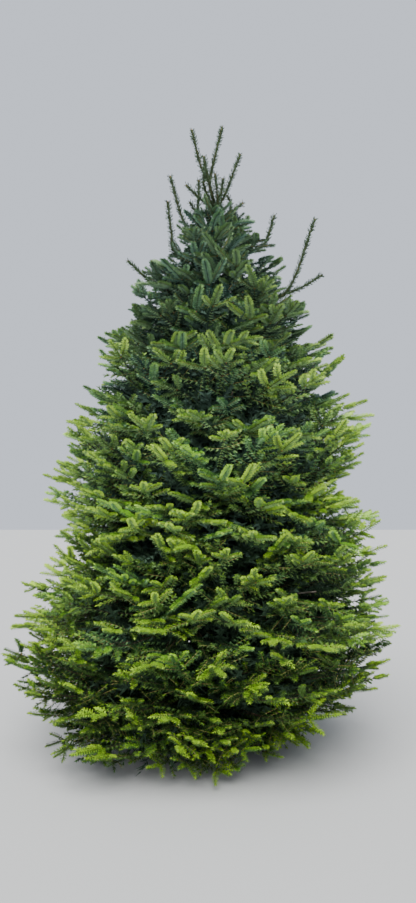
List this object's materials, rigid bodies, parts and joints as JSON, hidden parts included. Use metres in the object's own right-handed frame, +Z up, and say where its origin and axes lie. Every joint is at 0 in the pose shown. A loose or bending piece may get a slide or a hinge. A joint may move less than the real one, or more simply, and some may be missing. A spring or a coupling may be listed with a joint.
{
  "type": "fir tree",
  "caption": "Field-grown fir with a dense cone of needle sprays down to the ground, a tapering trunk hidden inside it and slender leader shoots at a forked top.",
  "frame": {"origin": "centre of the trunk's flat cut at ground level", "axes": "+Z up along the trunk, +X towards the tree's right as pictured, -Y towards its front"},
  "size_m": [2.4116, 2.5634, 4.0071],
  "materials": {
    "bark": "rough grey-brown bark",
    "foliage": "matt green needles"
  },
  "bodies": {
    "root": {"bough_1_1": "bark", "bough_1_2": "bark", "bough_1_3": "bark", "bough_1_4": "bark", "bough_1_5": "bark", "bough_1_6": "bark", "bough_2_1": "bark", "bough_2_2": "bark", "bough_2_3": "bark", "bough_2_4": "bark", "bough_2_5": "bark", "bough_2_6": "bark", "bough_3_1": "bark", "bough_3_2": "bark", "bough_3_3": "bark", "bough_3_4": "bark", "bough_3_5": "bark", "bough_3_6": "bark", "foliage_1_1": "foliage", "foliage_1_2": "foliage", "foliage_1_3": "foliage", "foliage_1_4": "foliage", "foliage_1_5": "foliage", "foliage_1_6": "foliage", "foliage_2_1": "foliage", "foliage_2_2": "foliage", "foliage_2_3": "foliage", "foliage_2_4": "foliage", "foliage_2_5": "foliage", "foliage_2_6": "foliage", "foliage_3_1": "foliage", "foliage_3_2": "foliage", "foliage_3_3": "foliage", "foliage_3_4": "foliage", "foliage_3_5": "foliage", "foliage_3_6": "foliage", "foliage_4_1": "foliage", "foliage_4_2": "foliage", "foliage_4_3": "foliage", "foliage_4_4": "foliage", "foliage_4_5": "foliage", "foliage_5_1": "foliage", "foliage_5_2": "foliage", "foliage_5_3": "foliage", "foliage_5_4": "foliage", "foliage_5_5": "foliage", "foliage_6_1": "foliage", "foliage_6_2": "foliage", "foliage_6_3": "foliage", "foliage_6_4": "foliage", "foliage_7_1": "foliage", "foliage_7_2": "foliage", "foliage_7_3": "foliage", "leader_left": "foliage", "leader_right": "foliage", "shoot_back": "foliage", "shoot_front": "foliage", "shoot_left": "foliage", "shoot_right": "foliage", "trunk": "bark"}
  },
  "joints": []
}
